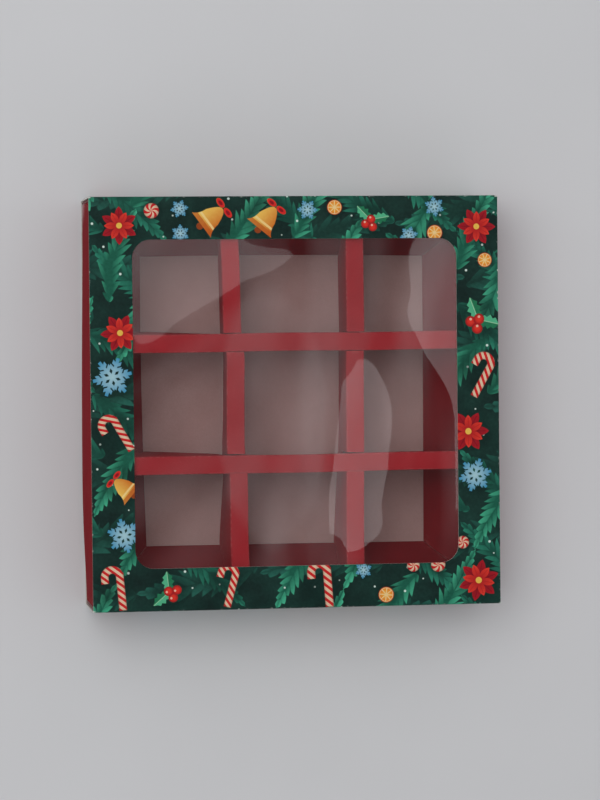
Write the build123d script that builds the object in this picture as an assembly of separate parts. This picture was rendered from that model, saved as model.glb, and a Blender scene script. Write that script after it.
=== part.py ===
from build123d import *
from math import asin, atan2, hypot, tan
import os

# Nine-cell sweet box: a red card tray that slides sideways out of a printed card sleeve.
# +X is the way the tray slides, +Z is up, and the origin is under the middle of the box.

# Sleeve: one printed blank, creased into four panels and a glue flap, open at both ends
sleeve_length = 145.0
sleeve_width = 145.0
sleeve_height = 35.0
sleeve_card = 0.4
window_border = 15.0
window_corner_radius = 6.5
glue_flap_width = 12.0
base_edge_setback = 0.3

# Every crease, as the radius of its outer face
crease_radius = 0.6

# Clear film behind the window, and the glue that holds film, flap, tabs and feet
film_thickness = 0.15
film_overlap = 6.0
film_glue_width = 4.0
glue_thickness = 0.1
glue_margin = 1.0

# Tray: one blank, red outside and bare board inside, whose walls roll over into hollow wedges
tray_card = 0.4
tray_end_setback = 0.3
tray_side_clearance = 0.4
tray_floor_clearance = 0.2
tray_top_clearance = 0.35
end_wedge_width = 21.7
side_wedge_width = 20.3
foot_flange_width = 7.0
mitre_gap = 0.1
corner_tab_length = 12.0
corner_tab_drop = 4.0

# Dividers: four folded channels that lap like an egg crate
divider_card = 0.4
divider_width = 6.5
divider_drop = 1.0
centre_cell = 36.1
lap_clearance = 0.35
divider_end_clearance = 0.3

# The dividers sit a little askew, in degrees anticlockwise from above
long_divider_skew = 0.3
left_divider_skew = 2.0
right_divider_skew = 0.0

# Heights, from the table up
crease_reach = 2 * crease_radius
flap_underside = sleeve_card + glue_thickness
tray_underside = flap_underside + sleeve_card + tray_floor_clearance
tray_floor = tray_underside + tray_card
foot_height = tray_floor + glue_thickness
film_top = sleeve_height - sleeve_card - glue_thickness
film_underside = film_top - film_thickness
rim_height = film_underside - tray_top_clearance
rim_joint = rim_height - crease_reach
divider_top = rim_height - divider_drop
lap_height = (tray_floor + divider_top) / 2

# Half sizes in plan
half_length = sleeve_length / 2
half_width = sleeve_width / 2
tray_half_length = half_length - tray_end_setback
tray_half_width = half_width - sleeve_card - tray_side_clearance
tab_face = tray_half_width - tray_card - glue_thickness
divider_place = (centre_cell + divider_width) / 2
overrun = sleeve_height


def wedge_slope(wedge_width):
    """Steepness of a wedge's slope, which touches the rim's fold and runs down to the foot."""
    across = wedge_width - crease_radius
    rise = rim_height - crease_radius - foot_height
    return tan(atan2(rise, across) + asin(crease_radius / hypot(across, rise)))


def inner_line(points, thickness):
    """The other face of a bent card: the same line, moved to the left by the card's thickness."""
    legs = [(b - a).normalized() for a, b in zip(points, points[1:])]
    normals = [Vector(-leg.Y, leg.X) for leg in legs]
    moved = [points[0] + normals[0] * thickness]
    for corner, before, after in zip(points[1:], normals, normals[1:]):
        moved.append(corner + (before + after) * (thickness / (1 + before.dot(after))))
    moved.append(points[-1] + normals[-1] * thickness)
    return moved


def bent_card(points, thickness):
    """Section of a folded card from its outer face, with the card on the left of the line."""
    outer = [Vector(*point) for point in points]
    inner = inner_line(outer, thickness)
    bends = len(outer) - 2
    radii = [0] + [crease_radius] * bends + [0, 0] + [crease_radius - thickness] * bends + [0]
    return make_face(FilletPolyline(*outer, *reversed(inner), radius=radii, close=True))


def along_y(section, half_run):
    """Stand a section up in the XZ plane and run it along Y, the same length each way."""
    return extrude(Plane.XZ * section, amount=half_run, both=True)


def slab(low, high):
    """A plain block between two corners."""
    size = Vector(*high) - Vector(*low)
    middle = (Vector(*high) + Vector(*low)) / 2
    return Pos(*middle) * Box(*size)


def window(grow):
    """The window's outline in plan, grown all round."""
    length = sleeve_length - 2 * (window_border - grow)
    width = sleeve_width - 2 * (window_border - grow)
    return RectangleRounded(length, width, window_corner_radius + grow)


def plate(outline, underside, top):
    """A flat outline in plan, given its thickness."""
    return extrude(Pos(0, 0, underside) * outline, amount=top - underside)


# Sleeve

def sleeve_top():
    """Top panel with the die-cut window."""
    low = (-half_length, -half_width + crease_reach, sleeve_height - sleeve_card)
    high = (half_length, half_width - crease_reach, sleeve_height)
    return slab(low, high) - plate(window(0), 0, sleeve_height + overrun)


def sleeve_base():
    """Base panel, whose free edge ends just short of the front face, under the glue flap."""
    low = (-half_length, -half_width + base_edge_setback, 0)
    high = (half_length, half_width - crease_reach, sleeve_card)
    return slab(low, high)


def sleeve_side(underside):
    """A side panel with its two creases, made for +X and turned to its place."""
    points = [
        (half_width - crease_reach, underside),
        (half_width, underside),
        (half_width, sleeve_height),
        (half_width - crease_reach, sleeve_height),
    ]
    return along_y(bent_card(points, sleeve_card), half_length)


def sleeve_glue_flap():
    """Flap of the front panel, folded in and glued onto the base panel."""
    start = -half_width + crease_reach
    low = (-half_length, start, flap_underside)
    high = (half_length, start + glue_flap_width, flap_underside + sleeve_card)
    return slab(low, high)


def seam_glue():
    """Glue line between the base panel and the flap."""
    start = -half_width + crease_reach + glue_margin
    end = -half_width + crease_reach + glue_flap_width - glue_margin
    run = half_length - glue_margin
    return slab((-run, start, sleeve_card), (run, end, flap_underside))


# Film

def window_film():
    """Clear film behind the window."""
    length = sleeve_length - 2 * (window_border - film_overlap)
    width = sleeve_width - 2 * (window_border - film_overlap)
    return plate(Rectangle(length, width), film_underside, film_top)


def film_glue():
    """Ring of glue round the window, between the card and the film."""
    ring = window(glue_margin + film_glue_width) - window(glue_margin)
    return plate(ring, film_top, film_top + glue_thickness)


# Tray, with each side made for +X and turned to its place

def tray_base():
    """Floor panel of the tray, bare board on top."""
    length = 2 * (tray_half_length - crease_reach)
    width = 2 * (tray_half_width - crease_reach)
    return plate(Rectangle(length, width), tray_underside, tray_floor)


def outer_wall(reach, half_run):
    """Outer wall with the crease that joins it to the floor."""
    points = [
        (reach - crease_reach, tray_underside),
        (reach, tray_underside),
        (reach, rim_joint),
    ]
    return along_y(bent_card(points, tray_card), half_run)


def inner_wall(reach, half_run, wedge_width, next_width):
    """Roll-over panel: fold at the rim, slope down to the floor, flange glued under the wedge."""
    points = [
        (reach, rim_joint),
        (reach, foot_height + wedge_width * wedge_slope(wedge_width)),
        (reach - wedge_width, foot_height),
        (reach - wedge_width + foot_flange_width, foot_height),
    ]
    near = half_run - next_width - mitre_gap / 2
    far = half_run - mitre_gap / 2
    mitre = make_face(
        Polyline(
            (reach - wedge_width, -near),
            (reach, -far),
            (reach, far),
            (reach - wedge_width, near),
            close=True,
        )
    )
    return along_y(bent_card(points, tray_card), half_run) & plate(mitre, 0, sleeve_height)


def foot_glue(reach, half_run, wedge_width, next_width):
    """Glue line between the foot flange and the floor."""
    start = reach - wedge_width + 2 * glue_margin
    end = reach - wedge_width + foot_flange_width - glue_margin
    run = half_run - next_width - glue_margin
    return slab((start, -run, tray_floor), (end, run, foot_height))


def corner_tab():
    """Tab of an end wall, folded inside the side wall at one corner."""
    corner = [
        (tray_half_length, tab_face - crease_reach),
        (tray_half_length, tab_face),
        (tray_half_length - corner_tab_length, tab_face),
    ]
    section = bent_card(corner, tray_card)
    return plate(section, tray_underside + crease_reach, rim_height - corner_tab_drop)


def corner_glue():
    """Glue between one corner tab and the side wall."""
    start = tray_half_length - corner_tab_length + glue_margin
    end = tray_half_length - crease_reach - glue_margin
    underside = tray_underside + crease_reach + glue_margin
    top = rim_height - corner_tab_drop - glue_margin
    return slab((start, tab_face, underside), (end, tab_face + glue_thickness, top))


def four_corners(shape):
    """The same piece at each of the four corners, mirrored across both middles."""
    pair = [shape, mirror(shape, about=Plane.XZ)]
    return Compound(pair + [mirror(piece, about=Plane.YZ) for piece in pair])


# Dividers

def basin():
    """The space inside the sloping walls that a divider may fill, short of them at its ends."""
    blocks = []
    wedges = ((tray_half_length, end_wedge_width), (tray_half_width, side_wedge_width))
    for reach, wedge_width in wedges:
        foot = reach - wedge_width - divider_end_clearance
        low = foot + (tray_floor - foot_height) / wedge_slope(wedge_width)
        high = foot + (divider_top - foot_height) / wedge_slope(wedge_width)
        outline = Polyline(
            (-low, tray_floor),
            (low, tray_floor),
            (high, divider_top),
            (-high, divider_top),
            close=True,
        )
        blocks.append(along_y(make_face(outline), sleeve_length))
    return blocks[0] & Rot(0, 0, 90) * blocks[1]


def divider_line(place, skew):
    """Where a divider stands, made along Y: its distance along X and its turn."""
    return Pos(place, 0, 0) * Rot(0, 0, skew)


def lap_slot(underside, top):
    """The room that a crossing divider needs, made along Y."""
    reach = divider_width / 2 + lap_clearance
    return slab((-reach, -sleeve_length, underside), (reach, sleeve_length, top))


def divider(place, slot_places, slot_underside, slot_top):
    """A folded channel, cut to the tray's slopes and slotted where the others cross it."""
    half = divider_width / 2
    channel = [(half, tray_floor), (half, divider_top), (-half, divider_top), (-half, tray_floor)]
    piece = (place * along_y(bent_card(channel, divider_card), sleeve_length)) & basin()
    for slot_place in slot_places:
        piece -= slot_place * lap_slot(slot_underside, slot_top)
    return piece


quarter = Rot(0, 0, 90)
cross_places = {
    "left": divider_line(-divider_place, left_divider_skew),
    "right": divider_line(divider_place, right_divider_skew),
}
long_places = {
    "front": quarter * divider_line(-divider_place, long_divider_skew),
    "back": quarter * divider_line(divider_place, long_divider_skew),
}
slot_edge = lap_clearance / 2

parts = {
    "sleeve_top_panel": sleeve_top(),
    "sleeve_base_panel": sleeve_base(),
    "sleeve_front_panel": Rot(0, 0, -90) * sleeve_side(flap_underside),
    "sleeve_back_panel": Rot(0, 0, 90) * sleeve_side(0),
    "sleeve_glue_flap": sleeve_glue_flap(),
    "sleeve_seam_glue": seam_glue(),
    "window_film": window_film(),
    "window_film_glue": film_glue(),
    "tray_base": tray_base(),
    "tray_corner_tabs": four_corners(corner_tab()),
    "tray_corner_glue": four_corners(corner_glue()),
}

end_wall = (tray_half_length, tab_face - crease_reach)
side_wall = (tray_half_width, tray_half_length)
end_wedge = (tray_half_length, tray_half_width, end_wedge_width, side_wedge_width)
side_wedge = (tray_half_width, tray_half_length, side_wedge_width, end_wedge_width)
sides = {
    "right": (0, end_wall, end_wedge),
    "back": (90, side_wall, side_wedge),
    "left": (180, end_wall, end_wedge),
    "front": (270, side_wall, side_wedge),
}
foot_glue_lines = []
for side, (angle, wall, wedge) in sides.items():
    turn = Rot(0, 0, angle)
    parts[f"tray_outer_wall_{side}"] = turn * outer_wall(*wall)
    parts[f"tray_inner_wall_{side}"] = turn * inner_wall(*wedge)
    foot_glue_lines.append(turn * foot_glue(*wedge))
parts["tray_foot_glue"] = Compound(foot_glue_lines)

for side, place in cross_places.items():
    parts[f"cross_divider_{side}"] = divider(
        place, long_places.values(), lap_height - slot_edge, sleeve_height
    )
for side, place in long_places.items():
    parts[f"long_divider_{side}"] = divider(place, cross_places.values(), 0, lap_height + slot_edge)

os.makedirs("parts", exist_ok=True)
for name, shape in parts.items():
    export_step(shape, f"parts/{name}.step")
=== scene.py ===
import bpy
from math import asin, atan2, cos, exp, hypot, pi, radians, sin, tan
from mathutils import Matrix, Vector


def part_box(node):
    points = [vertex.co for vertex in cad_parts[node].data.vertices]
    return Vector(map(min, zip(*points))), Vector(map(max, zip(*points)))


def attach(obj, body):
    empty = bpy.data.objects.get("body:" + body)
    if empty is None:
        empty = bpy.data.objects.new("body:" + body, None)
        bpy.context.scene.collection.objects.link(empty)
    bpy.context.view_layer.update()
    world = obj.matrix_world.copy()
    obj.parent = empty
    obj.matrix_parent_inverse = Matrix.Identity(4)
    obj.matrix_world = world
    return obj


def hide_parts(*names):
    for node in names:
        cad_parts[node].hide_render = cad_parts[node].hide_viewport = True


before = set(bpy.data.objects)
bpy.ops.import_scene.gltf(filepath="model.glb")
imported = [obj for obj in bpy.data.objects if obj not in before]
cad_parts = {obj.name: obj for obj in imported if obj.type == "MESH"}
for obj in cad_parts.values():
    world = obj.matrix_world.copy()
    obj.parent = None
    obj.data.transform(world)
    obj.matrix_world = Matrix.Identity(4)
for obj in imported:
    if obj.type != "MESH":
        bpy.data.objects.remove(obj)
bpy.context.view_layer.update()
mm = 0.001

# Studio: the camera looks down on the box from a little to its left, as in the photo. A soft lamp
# and two ceiling panels light a plain pale table. The film mirrors the panels but not the lamp.
camera_data = bpy.data.cameras.new("camera")
camera_data.lens = 135.3
camera = bpy.data.objects.new("camera", camera_data)
camera.location = (-152.6 * mm, 27.4 * mm, 1080.7 * mm)
camera.rotation_euler = (radians(-1.354), radians(-8.377), radians(-0.59))
bpy.context.scene.collection.objects.link(camera)
bpy.context.scene.camera = camera
bpy.context.scene.view_settings.view_transform = "Standard"


def paint(red, green, blue):
    """A colour as a screen shows it, 0 to 255, turned into the light values that Blender takes."""
    shares = [value / 255 for value in (red, green, blue)]
    return (*[((s + 0.055) / 1.055) ** 2.4 if s > 0.04 else s / 12.92 for s in shares], 1.0)


def soft_panel(name, place, turn, size, brightness):
    """A rectangular soft light, turned from facing straight down. Brightness 1 shows as white."""
    light = bpy.data.lights.new(name, "AREA")
    light.shape = "RECTANGLE"
    light.size, light.size_y = size
    light.energy = brightness * pi * size[0] * size[1]
    lamp = bpy.data.objects.new(name, light)
    lamp.location = place
    lamp.rotation_euler = turn
    bpy.context.scene.collection.objects.link(lamp)
    return lamp


key_place = Vector((-0.5, 0.3, 1.45))
key_aim = Vector((0, 0, 0.02))
key_turn = (key_aim - key_place).to_track_quat("-Z", "Y").to_euler()
key_lamp = soft_panel("key", key_place, key_turn, (1.0, 1.0), 2.75)
key_lamp.visible_glossy = False

# One panel ends at a slanting line near the box's middle, so that only some buckles catch it.
ceiling = 1.4
slant = 2.3348
near_edge = -0.034
deep, wide = 1.4, 1.8
off_centre = near_edge + deep / 2
upper_left = (cos(slant) * off_centre, sin(slant) * off_centre, ceiling)
soft_panel("upper_left_ceiling", upper_left, (0, 0, slant), (deep, wide), 0.55)
soft_panel("right_ceiling", (0.804, 0.069, ceiling), (0, 0, 0), (1.0, 0.382), 0.85)


class Value:
    """A number somewhere in a finish. Arithmetic on it adds the Math nodes that work it out."""

    def __init__(self, socket):
        self.socket = socket

    def maths(self, operation, *others):
        node = add_node(self.socket.id_data, "Math", {"operation": operation}, (self, *others))
        return Value(node.outputs[0])

    def __add__(self, other): return self.maths("ADD", other)
    def __radd__(self, other): return self.maths("ADD", other)
    def __sub__(self, other): return self.maths("SUBTRACT", other)
    def __rsub__(self, other): return (self * -1).maths("ADD", other)
    def __mul__(self, other): return self.maths("MULTIPLY", other)
    def __rmul__(self, other): return self.maths("MULTIPLY", other)
    def __truediv__(self, other): return self.maths("DIVIDE", other)
    def __pow__(self, other): return self.maths("POWER", other)
    def __mod__(self, other): return self.maths("FLOORED_MODULO", other)
    def __lt__(self, other): return self.maths("LESS_THAN", other)
    def __gt__(self, other): return self.maths("GREATER_THAN", other)
    def __abs__(self): return self.maths("ABSOLUTE")
    def floor(self): return self.maths("FLOOR")
    def sin(self): return self.maths("SINE")
    def cos(self): return self.maths("COSINE")
    def least(self, other): return self.maths("MINIMUM", other)
    def most(self, other): return self.maths("MAXIMUM", other)

    def clip(self):
        """Kept between 0 and 1."""
        return self.most(0.0).least(1.0)


def add_node(tree, kind, settings, sockets):
    """One shader node: its settings, then its sockets by place or name, each a value or a link."""
    node = tree.nodes.new("ShaderNode" + kind)
    for name, setting in settings.items():
        setattr(node, name, setting)
    named = sockets.items() if isinstance(sockets, dict) else enumerate(sockets)
    for name, given in named:
        socket = given.socket if isinstance(given, Value) else given
        if isinstance(socket, bpy.types.NodeSocket):
            tree.links.new(socket, node.inputs[name])
        else:
            node.inputs[name].default_value = socket
    return node


class Finish:
    """A material being made up, on Object coordinates in millimetres or on the piece's own map."""

    def __init__(self, name, map_name=None):
        self.material = bpy.data.materials.new(name)
        self.material.use_nodes = True
        self.tree = self.material.node_tree
        self.tree.nodes.clear()
        if map_name:
            source = self.node("UVMap", {"uv_map": map_name}, {}).outputs["UV"]
        else:
            source = self.node("TexCoord", {}, {}).outputs["Object"]
        scaled = self.node("VectorMath", {"operation": "SCALE"}, {0: source, "Scale": 1 / mm})
        self.place = scaled.outputs[0]
        split = self.node("SeparateXYZ", {}, (self.place,))
        self.x, self.y, self.z = [Value(output) for output in split.outputs]

    def node(self, kind, settings, sockets):
        return add_node(self.tree, kind, settings, sockets)

    def mix(self, share, low, high):
        """One colour laid over another by a share from 0 to 1."""
        sockets = {0: share, 6: low, 7: high}
        return self.node("Mix", {"data_type": "RGBA"}, sockets).outputs[2]

    def noise(self, scale, detail=2.0, place=None):
        """Soft mottling, from 0 to 1 about 0.5, whose scale is in waves per millimetre."""
        sockets = {"Vector": place or self.place, "Scale": scale, "Detail": detail}
        return Value(self.node("TexNoise", {}, sockets).outputs[0])

    def chance(self, column, row, seed):
        """Three random numbers for a cell of a repeat, always the same for that cell."""
        cell = self.node("CombineXYZ", {}, (column, row, float(seed))).outputs[0]
        drawn = self.node("TexWhiteNoise", {"noise_dimensions": "3D"}, {"Vector": cell})
        parts = self.node("SeparateColor", {}, (drawn.outputs["Color"],))
        return [Value(output) for output in parts.outputs]

    def gloss(self, colour, roughness, height=None, strength=0.1, distance=0.05 * mm, **sockets):
        """Ends the material in a glossy card or board surface, with a bump from a height."""
        sockets = {"Base Color": colour, "Roughness": roughness, **sockets}
        if height is not None:
            bump = {"Height": height, "Strength": strength, "Distance": distance}
            sockets["Normal"] = self.node("Bump", {}, bump).outputs[0]
        surface = self.node("BsdfPrincipled", {}, sockets).outputs[0]
        self.node("OutputMaterial", {}, (surface,))
        return self.material


world = bpy.data.worlds.new("studio")
world.use_nodes = True
bpy.context.scene.world = world
towards = add_node(world.node_tree, "TexCoord", {}, {}).outputs["Generated"]
split = add_node(world.node_tree, "SeparateXYZ", {}, (towards,))
east, north, up = [Value(output) for output in split.outputs]

# The surround is dark straight above, where the flat film would mirror it, and pale all round.
overhead = 0.92
sky = 0.1 + ((overhead - up) * 5.0).clip() * (0.46 + east * 0.12 - north * 0.02)
background = world.node_tree.nodes["Background"]
background.inputs["Color"].default_value = paint(252, 253, 255)
world.node_tree.links.new(sky.socket, background.inputs["Strength"])

table = Finish("pale_table")
table_tone = table.mix(table.noise(0.02), paint(204, 204, 206), paint(208, 208, 210))
table.gloss(table_tone, 0.8)
bpy.ops.mesh.primitive_plane_add(size=8)
floor = bpy.context.object
floor.name = "table"
floor.data.materials.append(table.material)

# Sleeve: one blank of 0.4 mm card, printed and varnished outside and bare inside, creased into
# four panels round the tray and glued along the base's front edge.
base_low, base_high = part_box("sleeve_base_panel")
top_low, top_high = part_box("sleeve_top_panel")
front_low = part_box("sleeve_front_panel")[0]
back_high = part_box("sleeve_back_panel")[1]
flap_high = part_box("sleeve_glue_flap")[1]
sleeve_card = top_high[2] - top_low[2]
crease = 0.6 * mm
window_border = 15 * mm
window_corner = 6.5 * mm
window_cut_reach = 2 * mm
side_bow = 0.35 * mm
sleeve_pitch = 5 * mm
half_long = base_high[0]
half_wide = back_high[1]
sleeve_top = top_high[2]
motifs_across = 8
motif_cell = 2 * half_long / motifs_across / mm


def in_cells(finish, x, y, wide, high, seed):
    """Cuts the plane into bricks. Gives the place in a brick and three random numbers for it."""
    row = (y / high).floor()
    shifted = x + (row % 2.0) * (wide / 2)
    column = (shifted / wide).floor()
    draws = finish.chance(column, row, seed)
    return shifted - (column + 0.5) * wide, y - (row + 0.5) * high, draws


def turned(x, y, angle):
    """The same place seen from axes turned by an angle, in degrees or as a value in radians."""
    if isinstance(angle, Value):
        c, s = angle.cos(), angle.sin()
    else:
        c, s = cos(radians(angle)), sin(radians(angle))
    return x * c + y * s, y * c - x * s


def length(x, y):
    return (x * x + y * y) ** 0.5


def inside(reach):
    """Full where a distance is above zero, with an edge a few hundredths of a millimetre soft."""
    return (reach * 6.0 + 0.5).clip()


def fir_sprays(finish, under, angle, long, broad, seed, pitch, share, dark, light):
    """A layer of fir sprays, one to a brick: broad needles on a curved twig, pale at their tips."""
    x, y = turned(finish.x, finish.y, angle)
    u, v, (draw, tint, lean) = in_cells(finish, x, y, long, broad, seed)
    u = u * ((lean > 0.5) * 2.0 - 1.0)
    u, v = turned(u, v, (tint - 0.5) * 0.4)
    v = v + (u / long) ** 2.0 * (tint - 0.5) * broad * 1.4
    along = u / long + 0.5
    off = abs(v)
    count = (u - off * 1.3) / pitch
    needle = count.floor()
    draws = finish.chance(needle, (v > 0.0) * 7.0 + draw * 50.0, seed + 0.5)
    reach = along.most(0.0) ** 0.5 * (1.0 - along).most(0.0) ** 0.75 * broad * 0.66
    reach = reach * (draws[0] * 0.45 + 0.62) + 0.02
    out = off / reach
    across = abs(count - needle - 0.5)
    blade = 0.78 * (1.0 - out ** 1.6) - across
    shown = (blade * 9.0 + 0.5).clip() * (out < 1.0) * (draw < share)
    shade = out * 0.55 + along * 0.45 + (draws[1] - 0.5) * 0.5 - 0.12
    shade = shade - (v > 0.0) * 0.14 - (across > 0.36) * 0.12
    green = finish.mix(shade.clip(), dark, light)
    green = finish.mix((off < 0.2) * (along < 0.8) * 0.7, green, dark)
    return finish.mix(shown, under, green)


def snow_dots(finish, under):
    """Small pale flecks of snow scattered over the ground."""
    u, v, (draw, size, shift) = in_cells(finish, finish.x, finish.y, 10.3, 8.7, 31)
    far = length(u + (shift - 0.5) * 5.0, v + (size - 0.5) * 5.0)
    dot = inside(size * 0.2 + 0.24 - far) * (draw < 0.6)
    return finish.mix(dot * 0.85, under, paint(215, 232, 222))


def poinsettia(finish, u, v, radius):
    """Six pointed red bracts over six darker ones, with yellow buds in the middle."""
    far = length(u, v)
    turn = v.maths("ARCTAN2", u) / (pi / 3)
    colour = paint(120, 16, 30)
    shown = None
    for shift, reach, deep, bright in (
        (0.5, 1.0, paint(112, 12, 28), paint(178, 24, 38)),
        (0.0, 0.78, paint(168, 20, 32), paint(236, 62, 46)),
    ):
        off = abs((turn + shift) % 1.0 - 0.5) * 2.0
        edge = (0.34 + (1.0 - off) ** 0.72 * 0.66) * radius * reach
        petal = inside(edge - far)
        tone = finish.mix((far / (radius * reach)).clip(), deep, bright)
        tone = finish.mix((off < 0.07) * (far < edge * 0.85) * 0.5, tone, deep)
        colour = finish.mix(petal, colour, tone)
        shown = petal if shown is None else shown.most(petal)
    return shown, finish.mix(inside(radius * 0.15 - far), colour, paint(243, 196, 84))


def orange_slice(finish, u, v, radius):
    """A dried orange slice: rind, pith and eight segments."""
    far = length(u, v)
    off = abs((v.maths("ARCTAN2", u) / (pi / 4)) % 1.0 - 0.5)
    pith = (0.5 - off) * far * 0.785 < 0.17
    outwards = (far / radius * 1.1).clip()
    colour = finish.mix(outwards ** 2.0, paint(250, 180, 66), paint(233, 112, 34))
    colour = finish.mix(pith.most(far > radius * 0.8), colour, paint(248, 214, 150))
    colour = finish.mix(far > radius * 0.88, colour, paint(214, 84, 26))
    return inside(radius * 0.96 - far), colour


def candy_cane(finish, u, v, radius):
    """A striped hooked cane."""
    hook = radius * 0.34
    bend = radius * 0.44
    bar = abs(u - hook).most(abs(v + radius * 0.24) - radius * 0.68)
    arc = abs(length(u, v - bend) - hook) + (v < bend) * radius
    tip = abs(u + hook) + ((v > bend) + (v < bend - radius * 0.26)) * radius
    near = bar.least(arc).least(tip)
    stripe = ((v + u * 0.9) / 2.4) % 1.0 < 0.5
    colour = finish.mix(stripe, paint(236, 206, 174), paint(216, 34, 38))
    colour = finish.mix((near / (radius * 0.17)).clip() ** 3.0 * 0.4, colour, paint(90, 14, 24))
    return inside(radius * 0.17 - near), colour


def snowflake(finish, u, v, radius):
    """A six-armed pale blue flake with side branches."""
    far = length(u, v)
    turn = abs((v.maths("ARCTAN2", u) / (pi / 3)) % 1.0 - 0.5) * (pi / 3)
    along = far * turn.cos()
    across = far * turn.sin()
    branches = across + (along > radius) * radius
    for start, reach in ((0.36, 0.3), (0.64, 0.22)):
        slant = abs((along - radius * start) * sin(pi / 3) - across * cos(pi / 3))
        branches = branches.least(slant + (across > radius * reach) * radius)
    colour = finish.mix((far / radius).clip(), paint(176, 214, 222), paint(58, 150, 192))
    return inside(radius * 0.085 - branches), colour


def bell(finish, u, v, radius):
    """A gold bell with a flared rim, a clapper and a red bow."""
    down = 0.6 - v / radius
    flank = (down * 1.7).clip() ** 0.5 * 0.42 + (down / 1.2).clip() ** 5.0 * 0.3
    body = inside((flank - abs(u) / radius) * radius) * (down > 0.0) * (down < 1.18)
    colour = finish.mix((u / radius + 0.5).clip(), paint(252, 206, 98), paint(214, 112, 34))
    colour = finish.mix((down > 0.98) * 0.8, colour, paint(196, 92, 30))
    colour = finish.mix((abs(down - 0.86) < 0.05) * 0.8, colour, paint(255, 226, 150))
    clapper = inside(radius * 0.15 - length(u, v + radius * 0.66))
    colour = finish.mix(clapper * (1.0 - body), colour, paint(150, 66, 26))
    loops = length((abs(u) - radius * 0.27) * 0.8, (v - radius * 0.68) * 1.5)
    bow = inside(radius * 0.2 - loops)
    ribbon = finish.mix(loops < radius * 0.1, paint(222, 40, 38), paint(150, 18, 32))
    colour = finish.mix(bow, colour, ribbon)
    return body.most(clapper).most(bow), colour


def holly(finish, u, v, radius):
    """Two spiked leaves and three red berries."""
    colour = paint(30, 110, 78)
    shown = None
    for lean in (28, 152):
        x, y = turned(u, v, lean)
        along = (x - radius * 0.52) / (radius * 0.56)
        edge = (1.0 - along ** 2.0).most(0.0) * radius * 0.34
        edge = edge * (1.0 - abs((along * 2.0 + 0.5) % 1.0 - 0.5) * 0.8)
        leaf = inside(edge - abs(y)) * (edge > 0.0)
        tone = finish.mix(y > 0.0, paint(30, 122, 84), paint(84, 186, 140))
        tone = finish.mix((abs(y) < 0.14) * 0.7, tone, paint(170, 222, 180))
        colour = finish.mix(leaf, colour, tone)
        shown = leaf if shown is None else shown.most(leaf)
    for across, up in ((-0.2, -0.3), (0.24, -0.34), (0.02, 0.04)):
        far = length(u - across * radius, v - up * radius)
        berry = inside(radius * 0.25 - far)
        glint = length(u - (across - 0.07) * radius, v - (up + 0.08) * radius) < radius * 0.06
        outwards = (far / (radius * 0.25)).clip()
        tone = finish.mix(outwards ** 2.0, paint(236, 56, 42), paint(146, 16, 30))
        tone = finish.mix(glint * 0.8, tone, paint(255, 206, 180))
        colour = finish.mix(berry, colour, tone)
        shown = shown.most(berry)
    return shown, colour


def peppermint(finish, u, v, radius):
    """A round sweet with red and cream swirls."""
    far = length(u, v)
    swirl = (v.maths("ARCTAN2", u) / (pi / 3) + far / radius * 0.8) % 1.0 < 0.5
    colour = finish.mix(swirl, paint(236, 206, 174), paint(216, 34, 38))
    colour = finish.mix((far / radius).clip() ** 4.0 * 0.5, colour, paint(120, 18, 28))
    return inside(radius - far), colour


def scatter(finish, under, cell, stray, seed, kinds, room=1.0):
    """Strews motifs, at most one to a square of the sheet, each kind taking its share of them."""
    column = ((finish.x + half_long / mm) / cell).floor()
    row = ((finish.y + half_wide / mm) / cell).floor()
    kind, angle, shift = finish.chance(column, row, seed)
    size = (shift * 7.0) % 1.0 * 0.25 + 0.9
    u = finish.x + half_long / mm - (column + 0.5) * cell + (shift - 0.5) * stray
    v = finish.y + half_wide / mm - (row + 0.5) * cell + (angle - 0.5) * stray
    u, v = turned(u / size, v / size, (angle - 0.5) * 2.4)
    taken = (kind < sum(share for motif, radius, share in kinds)) * room
    halo = ((cell * 0.48 - length(u, v)) / (cell * 0.2)).clip() * taken * 0.6
    over = finish.mix(halo, under, paint(10, 34, 30))
    start = 0.0
    for motif, radius, share in kinds:
        shown, colour = motif(finish, u, v, radius)
        chosen = (kind > start) * (kind < start + share) * room
        over = finish.mix(shown * chosen, over, finish.mix(0.2, colour, paint(44, 18, 14)))
        start += share
    return over, 1.0 - taken


print_ink = Finish("printed_card", "sheet")
ground_tone = print_ink.noise(0.09, 3.0)
ground_tone = ((ground_tone - 0.3) * 2.2).clip()
print_colour = print_ink.mix(ground_tone, paint(16, 35, 32), paint(24, 56, 49))

# Each layer of sprays: its turn in degrees, its bricks' length and breadth, its seed, the pitch of
# its needles in mm, the share of bricks that it fills, and its dark and light green.
for spray in (
    (8, 44.0, 23.0, 11, 4.4, 0.95, paint(21, 53, 46), paint(38, 98, 84)),
    (-44, 36.0, 18.5, 12, 2.9, 0.86, paint(21, 70, 58), paint(44, 130, 105)),
    (62, 34.0, 18.0, 13, 3.2, 0.78, paint(24, 86, 68), paint(74, 182, 143)),
):
    print_colour = fir_sprays(print_ink, print_colour, *spray)
print_colour = snow_dots(print_ink, print_colour)

# Each kind of motif: its drawing, its radius in mm and its share of the squares.
print_colour, room = scatter(
    print_ink, print_colour, motif_cell, 4.6, 4,
    (
        (poinsettia, 7.0, 0.16), (candy_cane, 7.6, 0.13), (bell, 7.2, 0.13), (snowflake, 6.4, 0.08),
        (holly, 7.0, 0.14),
    ),
)
print_colour, _ = scatter(
    print_ink, print_colour, motif_cell / 2, 1.6, 8,
    ((peppermint, 2.4, 0.2), (orange_slice, 2.7, 0.16), (snowflake, 3.2, 0.12)), room,
)
brushwork = print_ink.noise(0.9, 3.0)
shadow_ink = print_ink.node("Gamma", {}, (print_colour, (brushwork - 0.5) * 0.22 + 1.0)).outputs[0]

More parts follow.
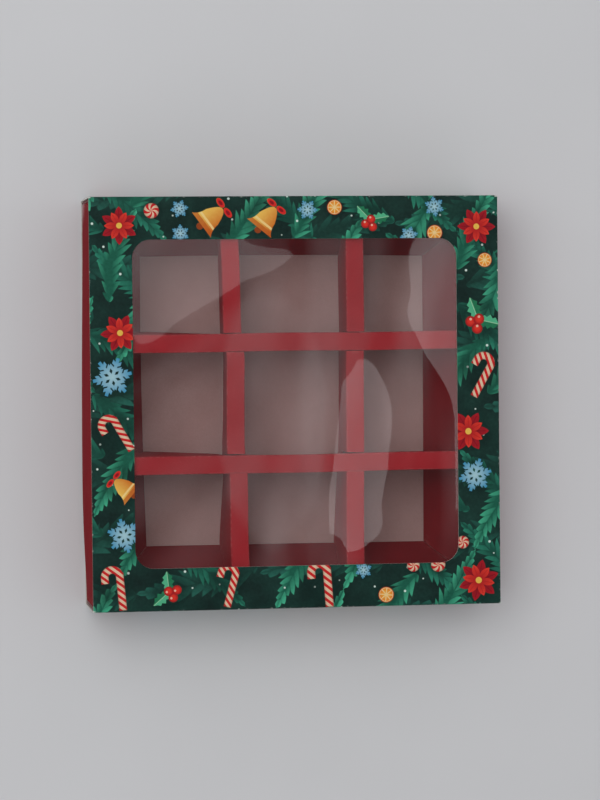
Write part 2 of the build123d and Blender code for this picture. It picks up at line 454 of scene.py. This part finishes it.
grain = print_ink.noise(2.2, 3.0)
rub = print_ink.noise(0.7, 4.0)
panel_ends = (-half_wide - back_high[2], -half_wide, half_wide, half_wide + back_high[2])
crease_off = None
for panel_end in panel_ends:
    off = abs(print_ink.y - panel_end / mm)
    crease_off = off if crease_off is None else crease_off.least(off)
end_off = half_long / mm - abs(print_ink.x)
corner_wear = (1.4 - length(end_off, crease_off) * 1.5 + (rub - 0.5) * 3.0).clip()
edge_wear = (0.45 - crease_off.least(end_off)).clip() * 2.2 * ((rub - 0.6) * 8.0).clip()
worn = print_ink.mix(corner_wear.most(edge_wear) * 0.85, shadow_ink, paint(208, 210, 204))
print_ink.gloss(worn, 0.38 + rub * 0.14, grain, 0.1, **{"Specular IOR Level": 0.12})

board_back = Finish("sleeve_inside")
board_fleck = board_back.noise(1.4, 4.0)
board_tone = ((board_fleck - 0.35) * 2.5).clip()
board_colour = board_back.mix(board_tone, paint(176, 172, 166), paint(206, 203, 198))
board_back.gloss(board_colour, 0.85, board_fleck, 0.3)

raw_edge = Finish("card_cut_edge")
edge_fleck = raw_edge.noise(3.0, 3.0)
edge_colour = raw_edge.mix(edge_fleck, paint(186, 180, 172), paint(226, 222, 214))
raw_edge.gloss(edge_colour, 0.9, edge_fleck, 0.4)


def start_piece(name):
    """Names the primitive just added and puts its place into its mesh."""
    piece = bpy.context.object
    piece.name = name
    bpy.ops.object.transform_apply(location=True, rotation=True, scale=True)
    return piece


def pick(piece, kind, wanted):
    """Selects, in edit mode, the vertices, edges or faces that a test wants."""
    bpy.ops.object.mode_set(mode="OBJECT")
    mesh = piece.data
    for group in (mesh.vertices, mesh.edges, mesh.polygons):
        group.foreach_set("select", [False] * len(group))
    group = {"VERT": mesh.vertices, "EDGE": mesh.edges, "FACE": mesh.polygons}[kind]
    for item in group:
        item.select = wanted(item)
    bpy.ops.object.mode_set(mode="EDIT")
    bpy.ops.mesh.select_mode(type=kind)


def draw_out(step):
    """Extrudes what is selected by a step, as a card blank's next panel."""
    bpy.ops.mesh.extrude_region_move(TRANSFORM_OT_translate={"value": step})


def slice_up(low, high, axis, pitch):
    """Cuts the whole mesh across one axis at an even pitch, so that it can bow."""
    normal = Vector([float(i == axis) for i in range(3)])
    count = round((high - low) / pitch)
    for step in range(1, count):
        bpy.ops.mesh.select_all(action="SELECT")
        place = normal * (low + (high - low) * step / count)
        bpy.ops.mesh.bisect(plane_co=place, plane_no=normal)


def fold_line(piece, offset, is_fold):
    """Rounds the creases that a test finds, each with a few narrow faces."""
    pick(piece, "EDGE", is_fold)
    bpy.ops.mesh.bevel(offset=offset, segments=4, affect="EDGES")
    bpy.ops.object.mode_set(mode="OBJECT")


def use_modifier(piece, kind, **settings):
    """Adds a modifier and applies it at once."""
    bpy.ops.object.mode_set(mode="OBJECT")
    modifier = piece.modifiers.new(kind.lower(), kind)
    for name, setting in settings.items():
        setattr(modifier, name, setting)
    bpy.ops.object.select_all(action="DESELECT")
    bpy.context.view_layer.objects.active = piece
    piece.select_set(True)
    bpy.ops.object.modifier_apply(modifier=modifier.name)


def give_thickness(piece, thickness, finishes):
    """Thickens a folded sheet inwards, with finishes for its outside, inside and cut edges."""
    for finish in finishes:
        piece.data.materials.append(finish)
    use_modifier(
        piece, "SOLIDIFY", thickness=thickness, offset=-1.0, use_even_offset=True,
        material_offset=1, material_offset_rim=2,
    )


def cut_through(piece, low, high, corner=0.0):
    """Cuts a box out of a piece, its upright corners rounded. The cut shows the card's cut edge."""
    bpy.ops.object.mode_set(mode="OBJECT")
    bpy.ops.object.select_all(action="DESELECT")
    middle = (Vector(low) + Vector(high)) / 2
    bpy.ops.mesh.primitive_cube_add(size=1, location=middle, scale=Vector(high) - Vector(low))
    cutter = start_piece("cutter")
    if corner:
        pick(cutter, "EDGE", lambda edge: is_upright(cutter, edge))
        bpy.ops.mesh.bevel(offset=corner, segments=10, affect="EDGES")
        bpy.ops.object.mode_set(mode="OBJECT")
    for finish in piece.data.materials:
        cutter.data.materials.append(finish)
    for face in cutter.data.polygons:
        face.material_index = 2
    use_modifier(piece, "BOOLEAN", operation="DIFFERENCE", solver="EXACT", object=cutter)
    bpy.data.objects.remove(cutter)


def is_upright(piece, edge):
    """Whether an edge runs straight up."""
    ends = [piece.data.vertices[i].co for i in edge.vertices]
    return hypot(ends[0].x - ends[1].x, ends[0].y - ends[1].y) < 0.01 * mm


def finish_piece(piece, angle=25):
    """Closes edit mode and smooths the bends but not the cut edges."""
    bpy.ops.object.mode_set(mode="OBJECT")
    bpy.ops.object.select_all(action="DESELECT")
    bpy.context.view_layer.objects.active = piece
    piece.select_set(True)
    bpy.ops.object.shade_smooth_by_angle(angle=radians(angle))


bpy.ops.object.select_all(action="DESELECT")
bpy.ops.mesh.primitive_plane_add(size=1, location=(0, (base_low[1] + half_wide) / 2, 0))
sleeve = bpy.context.object
sleeve.scale = (2 * half_long, half_wide - base_low[1], 1)
sleeve = start_piece("sleeve_card")
pick(sleeve, "EDGE", lambda edge: all(sleeve.data.vertices[i].co.y > 0 for i in edge.vertices))
draw_out((0, 0, sleeve_top))
draw_out((0, -2 * half_wide, 0))
draw_out((0, 0, front_low[2] - sleeve_top))
draw_out((0, flap_high[1] + half_wide, 0))
bpy.ops.mesh.select_all(action="SELECT")
bpy.ops.mesh.normals_make_consistent(inside=False)
bpy.ops.object.mode_set(mode="OBJECT")
panel_count = {}
for panel in sleeve.data.polygons:
    for ends in panel.edge_keys:
        panel_count[ends] = panel_count.get(ends, 0) + 1
fold_line(sleeve, crease, lambda edge: panel_count[tuple(sorted(edge.vertices))] == 2)
bpy.ops.object.mode_set(mode="EDIT")
slice_up(-half_long, half_long, 0, sleeve_pitch)
slice_up(-half_wide, half_wide, 1, sleeve_pitch)
slice_up(0, sleeve_top, 2, sleeve_pitch)
give_thickness(sleeve, sleeve_card, (print_ink.material, board_back.material, raw_edge.material))
window_half = (half_long - window_border, half_wide - window_border)
cut_through(
    sleeve,
    (-window_half[0], -window_half[1], sleeve_top - window_cut_reach),
    (window_half[0], window_half[1], sleeve_top + window_cut_reach),
    window_corner,
)


def sheet_place(point):
    """How far round the unfolded sheet a point lies, from the middle of the top panel."""
    down = sleeve_top - point.z
    at_flap_height = front_low[2] - 0.1 * mm < point.z < flap_high[2] + 0.1 * mm
    is_flap = at_flap_height and point.y < flap_high[1] + mm
    if point.z < base_high[2] + 0.05 * mm and point.y > base_low[1] - 0.1 * mm and not is_flap:
        return half_wide + down + half_wide - point.y
    if point.y > 0:
        return point.y + down
    return point.y - down


sheet = sleeve.data.uv_layers.new(name="sheet")
for loop in sleeve.data.loops:
    point = sleeve.data.vertices[loop.vertex_index].co
    sheet.data[loop.index].uv = (point.x, sheet_place(point))
for vertex in sleeve.data.vertices:
    point = vertex.co
    if abs(point.y) > half_wide - 2 * sleeve_card:
        rise = sin(pi * min(max(point.z / sleeve_top, 0), 1))
        swell = rise * cos(pi / 2 * point.x / half_long) ** 2
        point.y += side_bow * swell * (1 if point.y > 0 else -1)
finish_piece(sleeve)
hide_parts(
    "sleeve_top_panel", "sleeve_base_panel", "sleeve_front_panel", "sleeve_back_panel",
    "sleeve_glue_flap",
)
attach(sleeve, "sleeve")

# Window film: a sheet of clear plastic glued behind the window. It is flat at its glued rim and
# buckles in long shallow waves between.
film_low, film_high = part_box("window_film")
film_thickness = film_high[2] - film_low[2]
film_faces = 120
film_hold = 14 * mm
dent_depth = 0.13 * mm

# Each buckle: its place (across and up), length, breadth, turn in degrees and height, in mm.
buckles = (
    (42.8, 36.5, 14.8, 31.7, 8.9, 0.96),
    (-33.2, 31.5, 37.9, 8.0, 28.4, 0.40),
    (50.4, 13.5, 38.7, 8.0, 137.5, 0.47),
    (37.8, -10.9, 79.7, 19.9, 81.6, -0.94),
    (-41.2, 59.3, 8.0, 19.5, 82.2, 0.43),
    (-42.4, 1.1, 38.9, 33.3, 32.2, -0.56),
    (-34.0, 36.1, 24.2, 20.3, 172.5, 0.56),
    (10.8, -61.1, 22.5, 8.3, 88.5, 0.71),
)


def film_height(x, y):
    """How far the film stands from flat, in soft buckles that die out at the window's edge."""
    hold = 1.0
    for off in (window_half[0] - abs(x), window_half[1] - abs(y)):
        share = min(max(off / film_hold, 0.0), 1.0)
        hold *= share * share * (3 - 2 * share)
    rise = 0.0
    for across, up, long, broad, angle, height in buckles:
        c, s = cos(radians(angle)), sin(radians(angle))
        u, v = x / mm - across, y / mm - up
        rise += height * exp(-((u * c + v * s) / long) ** 2 - ((v * c - u * s) / broad) ** 2)
    return rise * hold * mm


clear_film = Finish("clear_film")
facing = Value(clear_film.node("LayerWeight", {}, {"Blend": 0.5}).outputs["Facing"])
mirrored = 0.045 + facing ** 5.0 * 0.955
dents = clear_film.noise(0.045, 1.0)
dent = {"Height": dents, "Strength": 1.0, "Distance": dent_depth}
dented = clear_film.node("Bump", {}, dent).outputs[0]
mirror = {"Color": (1.0, 0.92, 0.94, 1.0), "Roughness": 0.02, "Normal": dented}
shine = clear_film.node("BsdfGlossy", {}, mirror).outputs[0]
through = clear_film.node("BsdfTransparent", {}, {"Color": (0.985, 0.98, 0.975, 1)}).outputs[0]
pane = clear_film.node("MixShader", {}, {0: mirrored, 1: through, 2: shine}).outputs[0]


def film_streaks(angle):
    """Soft streaks across the film at an angle in degrees, from 0 to 1 about 0.5."""
    u, v = turned(clear_film.x, clear_film.y, angle)
    squeezed = clear_film.node("CombineXYZ", {}, (u * 0.2, v, 0.0)).outputs[0]
    return clear_film.noise(0.05, 1.5, squeezed)


slanting = ((clear_film.x + 10.0) / -14.0).clip()
streaks = film_streaks(86) * (1.0 - slanting) + film_streaks(38) * slanting
smear = ((streaks - 0.4) * 3.8).clip() * (0.034 - slanting * 0.012)
wiped = 1.0 - length((clear_film.x + 9.0) / 20.0, (clear_film.y + 5.0) / 48.0)
smear = smear + ((wiped + (streaks - 0.5) * 0.3) * 8.0).clip() * 0.016
milky = clear_film.node("BsdfDiffuse", {}, {"Color": (0.9, 0.82, 0.83, 1.0)}).outputs[0]
pane = clear_film.node("MixShader", {}, {0: smear, 1: pane, 2: milky}).outputs[0]
clear_film.node("OutputMaterial", {}, (pane,))

bpy.ops.object.select_all(action="DESELECT")
bpy.ops.mesh.primitive_grid_add(
    x_subdivisions=film_faces, y_subdivisions=film_faces, size=1, location=(0, 0, film_high[2])
)
film = bpy.context.object
film.scale = (film_high[0] - film_low[0], film_high[1] - film_low[1], 1)
film = start_piece("buckled_film")
for vertex in film.data.vertices:
    vertex.co.z += film_height(vertex.co.x, vertex.co.y)
film.data.materials.append(clear_film.material)
use_modifier(film, "SOLIDIFY", thickness=film_thickness, offset=-1.0)
finish_piece(film, 40)
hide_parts("window_film")
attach(film, "sleeve")

# Glue: thin milky lines of white glue, pressed flat under the flap, the film, the tabs and the
# feet of the tray's walls.
glue_dry = Finish("dried_glue")
glue_tone = glue_dry.mix(glue_dry.noise(0.6, 3.0), paint(214, 206, 186), paint(236, 231, 216))
glue_dry.gloss(glue_tone, 0.45, glue_dry.noise(1.1, 2.0), 0.3)
for node_name in ("sleeve_seam_glue", "window_film_glue", "tray_corner_glue", "tray_foot_glue"):
    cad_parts[node_name].data.materials.clear()
    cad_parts[node_name].data.materials.append(glue_dry.material)

# Tray floor: the blank's middle panel, with the bare greyish side of the board upwards and the
# red printed side below.
floor_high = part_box("tray_base")[1]
tray_board = Finish("tray_floor_board")
board_grain = tray_board.noise(1.8, 5.0)
board_cloud = tray_board.noise(0.07, 2.0)
board_shade = ((board_grain - 0.5) * 0.9 + (board_cloud - 0.5) * 0.8 + 0.5).clip()
bare = tray_board.mix(board_shade, paint(168, 138, 135), paint(189, 159, 156))
is_top = tray_board.z > (floor_high[2] - 0.05 * mm) / mm
both_sides = tray_board.mix(is_top, paint(128, 34, 40), bare)
tray_board.gloss(both_sides, 0.85, board_grain, 0.3)
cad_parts["tray_base"].data.materials.clear()
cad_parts["tray_base"].data.materials.append(tray_board.material)

# Tray walls: each side of the blank folds up, rolls over at the rim and slopes down inside to a
# flange glued on the floor, so that the four walls are hollow wedges, mitred at the corners.
def red_board(name, deep, bright):
    """Flat red printed card, matt, fibre-mottled, rubbed pale on folds, with a painted corner
    highlight.
    """
    card = Finish(name)
    fibre = card.noise(2.4, 4.0)
    cloud = card.noise(0.12, 2.0)
    red_share = ((fibre - 0.5) * 0.7 + (cloud - 0.5) * 0.9 + 0.5).clip()
    red_tone = card.mix(red_share, deep, bright)
    rubbed = Value(card.node("Attribute", {"attribute_name": "fold"}, {}).outputs["Fac"])
    rubbed = rubbed ** 3.0 * ((card.noise(0.9, 4.0) - 0.45) * 5.0).clip()
    on_left_wall = card.x < -70.0

    # A pale pink painted highlight at the foot of the tray's back left corner, placed in
    # millimetres.
    painted_corner_highlight = 1.0 - length((card.z - 1.0) / 14.0, (card.y - 71.5) / 9.0)
    painted_corner_highlight = (painted_corner_highlight * 1.1 + (fibre - 0.5) * 1.6).clip() * on_left_wall
    red_tone = card.mix(rubbed * 0.3, red_tone, paint(196, 120, 118))
    red_tone = card.mix(painted_corner_highlight * 0.8, red_tone, paint(206, 170, 172))
    return card.gloss(red_tone, 0.68 + fibre * 0.12, fibre, 0.12, **{"Specular IOR Level": 0.03})


inked_edge = Finish("red_card_edge")
edge_stain = inked_edge.noise(3.0, 3.0)
stained = inked_edge.mix(edge_stain, paint(112, 44, 46), paint(146, 78, 76))
inked_edge.gloss(stained, 0.85, edge_stain, 0.3)
# The tray's walls and corner tabs take the dividers' red card painted darker, as painted shade.
darker_shaded_wall_red = red_board("wall_red_card_painted_shade", paint(124, 24, 30), paint(138, 31, 38))

grey_back = Finish("red_card_back")
back_fleck = grey_back.noise(1.8, 4.0)
back_colour = grey_back.mix(back_fleck, paint(150, 136, 132), paint(178, 166, 162))
grey_back.gloss(back_colour, 0.85, back_fleck, 0.3)

tray_card = 0.4 * mm
foot_height = floor_high[2] + 0.1 * mm
flange = 7 * mm
bottom_lip = 1.2 * mm
wall_pitch = 6 * mm
outer_depth = 1.5 * mm
end_bulge = 1.7 * mm
bulge_place = -30 * mm
straight_share = 0.08

# How far each wall's foot lies inwards of its true line, in mm: low end, middle, high end.
foot_creep = {
    "left": (0.95, -0.2, -0.35), "right": (0.45, 0.15, 0.0), "front": (0.3, 0.25, 0.1),
    "back": (0.0, -0.35, 0.3),
}


def creep(low_side, high_side, out_share, run_share):
    """How far a foot glued on by hand lies off its true line, at a place from -1 to 1 each way."""
    first, middle, last = foot_creep[low_side if out_share < 0 else high_side]
    run_share = min(max(run_share, -1), 1)
    inwards = middle + (last - first) / 2 * run_share
    inwards += ((first + last) / 2 - middle) * run_share ** 2
    return -out_share * inwards * mm


def is_level(piece, edge, height, along):
    """Whether an edge lies at a height and runs along one axis."""
    ends = [piece.data.vertices[i].co for i in edge.vertices]
    run = ends[0] - ends[1]
    return all(abs(end.z - height) < 0.05 * mm for end in ends) and abs(run[along]) > run.length / 2


def mark_folds(piece):
    """Marks the points on folds and edges, where the card's ink rubs thin."""
    folds = piece.data.attributes.new("fold", "FLOAT", "POINT")
    for face in piece.data.polygons:
        for i in face.vertices:
            if face.normal.dot(piece.data.vertices[i].normal) < 0.99:
                folds.data[i].value = 1.0


wedge_width = {}
wedge_lean = {}
for side, across in (("left", 0), ("front", 1)):
    slope_low, slope_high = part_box("tray_inner_wall_" + side)
    wedge_width[across] = slope_high[across] - slope_low[across]
    over = wedge_width[across] - crease
    rise = slope_high[2] - crease - foot_height
    wedge_lean[across] = atan2(rise, over) + asin(crease / hypot(over, rise))

for side, across, sign in (("left", 0, -1), ("right", 0, 1), ("front", 1, -1), ("back", 1, 1)):
    wall_low, wall_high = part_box("tray_outer_wall_" + side)
    slope_low, slope_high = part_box("tray_inner_wall_" + side)
    along = 1 - across
    reach = max(abs(wall_low[across]), abs(wall_high[across]))
    foot = reach - wedge_width[across]
    lean = wedge_lean[across]
    apex = foot_height + wedge_width[across] * tan(lean)
    wall_run, rim_run = wall_high[along], slope_high[along]
    foot_run = rim_run - wedge_width[along]
    flange_run = foot_run + flange * wedge_width[along] / wedge_width[across]

    def place(out, travel, height):
        """A point from its distance outwards, its distance along the wall and its height."""
        spot = [0, 0, height]
        spot[across] = sign * out
        spot[along] = travel
        return Vector(spot)

    def next_panel(step, run_from, run_to):
        """Extrudes the sheet's free edge into its next panel and sets the new edge's length."""
        draw_out(step)
        stretch = [1, 1, 1]
        stretch[along] = run_to / run_from
        bpy.ops.transform.resize(value=stretch)

    bpy.ops.object.select_all(action="DESELECT")
    bpy.ops.mesh.primitive_plane_add(size=1)
    wall = start_piece("tray_side_" + side)
    corners = [place(reach, travel, height) for height in (wall_low[2], wall_high[2])
               for travel in (-wall_run, wall_run)]
    for vertex, corner in zip(wall.data.vertices, corners):
        vertex.co = corner
    pick(wall, "VERT", lambda vertex: vertex.co.z > wall_high[2] / 2)
    next_panel((0, 0, apex - wall_high[2]), wall_run, rim_run)
    next_panel(place(foot, 0, foot_height) - place(reach, 0, apex), rim_run, foot_run)
    next_panel(place(flange, 0, 0), foot_run, flange_run)
    pick(wall, "VERT", lambda vertex: vertex.co.z < wall_low[2] + 0.1 * mm)
    draw_out(place(-bottom_lip, 0, 0))
    bpy.ops.mesh.select_all(action="SELECT")
    bpy.ops.mesh.normals_make_consistent(inside=False)
    bpy.ops.object.mode_set(mode="OBJECT")
    for height, inner_angle in ((wall_low[2], pi / 2), (apex, pi / 2 - lean), (foot_height, lean)):
        offset = crease / tan(inner_angle / 2)
        fold_line(wall, offset, lambda edge: is_level(wall, edge, height, along))
    bpy.ops.object.mode_set(mode="EDIT")
    slice_up(-rim_run, rim_run, along, wall_pitch)
    slice_up(0, slope_high[2], 2, wall_pitch)
    bpy.ops.object.mode_set(mode="OBJECT")
    outward = place(1, 0, 0)
    outer_face = max(wall.data.polygons, key=lambda face: face.center.dot(outward))
    if outer_face.normal.dot(outward) < 0:
        wall.data.flip_normals()
    give_thickness(wall, tray_card, (darker_shaded_wall_red, grey_back.material, inked_edge.material))
    half_floor = (foot, foot_run) if across == 0 else (foot_run, foot)
    for vertex in wall.data.vertices:
        point = vertex.co
        if abs(point[across]) < reach - outer_depth:
            depth = (apex - point.z) / (apex - foot_height)
            depth = min(max(depth - straight_share, 0) / (1 - straight_share), 1)
            out_x, out_y = point.x / half_floor[0], point.y / half_floor[1]
            point.x += creep("left", "right", out_x, out_y) * depth
            point.y += creep("front", "back", out_y, out_x) * depth
        elif across == 0:
            height_share = min(max((point.z - wall_low[2]) / (apex - wall_low[2]), 0), 1)
            to_end = rim_run + (-bulge_place if point.y > bulge_place else bulge_place)
            swell = cos(pi / 2 * (point.y - bulge_place) / to_end)
            point.x += sign * end_bulge * sin(pi * height_share ** 0.6) * swell
    mark_folds(wall)
    finish_piece(wall)
    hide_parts("tray_outer_wall_" + side, "tray_inner_wall_" + side)
    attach(wall, "tray")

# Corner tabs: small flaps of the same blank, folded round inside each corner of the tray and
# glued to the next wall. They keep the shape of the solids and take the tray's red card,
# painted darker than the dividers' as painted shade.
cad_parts["tray_corner_tabs"].data.materials.clear()
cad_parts["tray_corner_tabs"].data.materials.append(darker_shaded_wall_red)

# Dividers: four channels folded from the same red card, open below. The long pair is slotted
# from below and laps over the cross pair, which is slotted from above.
divider_red = red_board("red_divider_card", paint(152, 31, 39), paint(168, 39, 47))
divider_width = 6.5 * mm
divider_place = 21.3 * mm
lap_play = 0.12 * mm
lap_cut_reach = 8 * mm
end_play = 0.3 * mm
length_pitch = 5 * mm
width_pitch = 1.2 * mm
ripple = 0.12 * mm
ripple_length = 11 * mm
hidden_lean = -0.8
divider_low, divider_top = [corner[2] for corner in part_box("long_divider_front")]
lap_height = (divider_low + divider_top) / 2


def drift(stations, travel):
    """How far a strip has bent aside at a place along it, read off between its stations."""
    for (start, first), (end, last) in zip(stations, stations[1:]):
        if travel < end:
            return first + (last - first) * max(travel - start, 0) / (end - start)
    return stations[-1][1]


# Each divider: its name, the axis that it runs along, its place, its turn in degrees, the flank
# that the camera sees, how far that leans out at its low end, middle and high end, in mm, and the
# stations of its bend, each a place along it and a shift, in mm.
for name, along, off, skew, seen_flank, leans, stations in (
    (
        "cross_divider_left", 1, -divider_place, 2.0, -1, (0.9, -2.6, -2.6),
        ((-49, -0.9), (-25.5, -0.2), (-17.5, -0.9), (17.5, 0.85), (25.5, -0.2), (49, 0.27)),
    ),
    (
        "cross_divider_right", 1, divider_place, 0.0, -1, (0.0, -2.4, -2.2),
        ((-49, -0.5), (-25.5, -0.28), (0, -0.3), (17.5, 0.0), (25.5, 0.35), (49, 0.1)),
    ),
    (
        "long_divider_front", 0, -divider_place, 0.3, 1, (1.0, -1.4, -1.2),
        ((-49, 0.0), (-25.5, -0.25), (49, -0.3)),
    ),
    (
        "long_divider_back", 0, divider_place, 0.3, 1, (1.4, -0.8, -0.8),
        ((-49, 0.1), (49, -0.15)),
    ),
):
    across = 1 - along
    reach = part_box("tray_inner_wall_right" if along == 0 else "tray_inner_wall_back")[1][along]
    foot = reach - wedge_width[along] - end_play
    low_end, top_end = [
        foot + (height - foot_height) / tan(wedge_lean[along])
        for height in (divider_low, divider_top)
    ]
    size = [1, 1, 1]
    size[along], size[across] = 2 * top_end, divider_width
    bpy.ops.object.select_all(action="DESELECT")
    bpy.ops.mesh.primitive_plane_add(size=1, location=(0, 0, divider_top))
    bpy.context.object.scale = size
    strip = start_piece(name + "_strip")
    for flank in (-1, 1):
        def on_top_edge(vertex):
            return vertex.co[across] * flank > 0 and vertex.co.z > divider_top - mm

        pick(strip, "VERT", on_top_edge)
        draw_out((0, 0, divider_low - divider_top))
        shrink = [1, 1, 1]
        shrink[along] = low_end / top_end
        bpy.ops.transform.resize(value=shrink)
    bpy.ops.mesh.select_all(action="SELECT")
    bpy.ops.mesh.normals_make_consistent(inside=False)
    bpy.ops.object.mode_set(mode="OBJECT")
    fold_line(strip, crease, lambda edge: is_level(strip, edge, divider_top, along))
    bpy.ops.object.mode_set(mode="EDIT")
    slice_up(-top_end, top_end, along, length_pitch)
    slice_up(-2 * width_pitch, 2 * width_pitch, across, width_pitch)
    bpy.ops.object.mode_set(mode="OBJECT")
    top_face = max(strip.data.polygons, key=lambda face: face.center.z)
    if top_face.normal.z < 0:
        strip.data.flip_normals()
    give_thickness(strip, tray_card, (divider_red, grey_back.material, inked_edge.material))
    turn = radians(skew)
    for vertex in strip.data.vertices:
        x, y, z = vertex.co
        travel = (x, y)[along]
        from_middle = travel / top_end
        phase = off / (10 * mm)
        sway = ripple * sin(travel / ripple_length + phase) * cos(pi / 2 * from_middle)
        sway += drift(stations, travel / mm) * mm
        spot = [x, y]
        flank = 1 if spot[across] > 0 else -1
        bend = from_middle * from_middle * (3 - 2 * abs(from_middle))
        lean_out = leans[1] + (leans[0 if travel < 0 else 2] - leans[1]) * bend
        if flank != seen_flank:
            lean_out = hidden_lean
        depth = (divider_top - z) / (divider_top - divider_low)
        spot[across] += sway + flank * lean_out * mm * depth
        shift = [0, 0]
        shift[across] = off
        vertex.co.x = spot[0] * cos(turn) - spot[1] * sin(turn) + shift[0]
        vertex.co.y = spot[0] * sin(turn) + spot[1] * cos(turn) + shift[1]
    for crossing in (-divider_place, divider_place):
        half = divider_width / 2 + lap_play
        low, high = [0, 0, lap_height], [0, 0, divider_top + mm]
        if along == 0:
            low[2], high[2] = divider_low - mm, lap_height
        low[along], high[along] = crossing - half, crossing + half
        low[across], high[across] = off - lap_cut_reach, off + lap_cut_reach
        cut_through(strip, low, high)
    mark_folds(strip)
    finish_piece(strip)
    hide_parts(name)
    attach(strip, "tray")
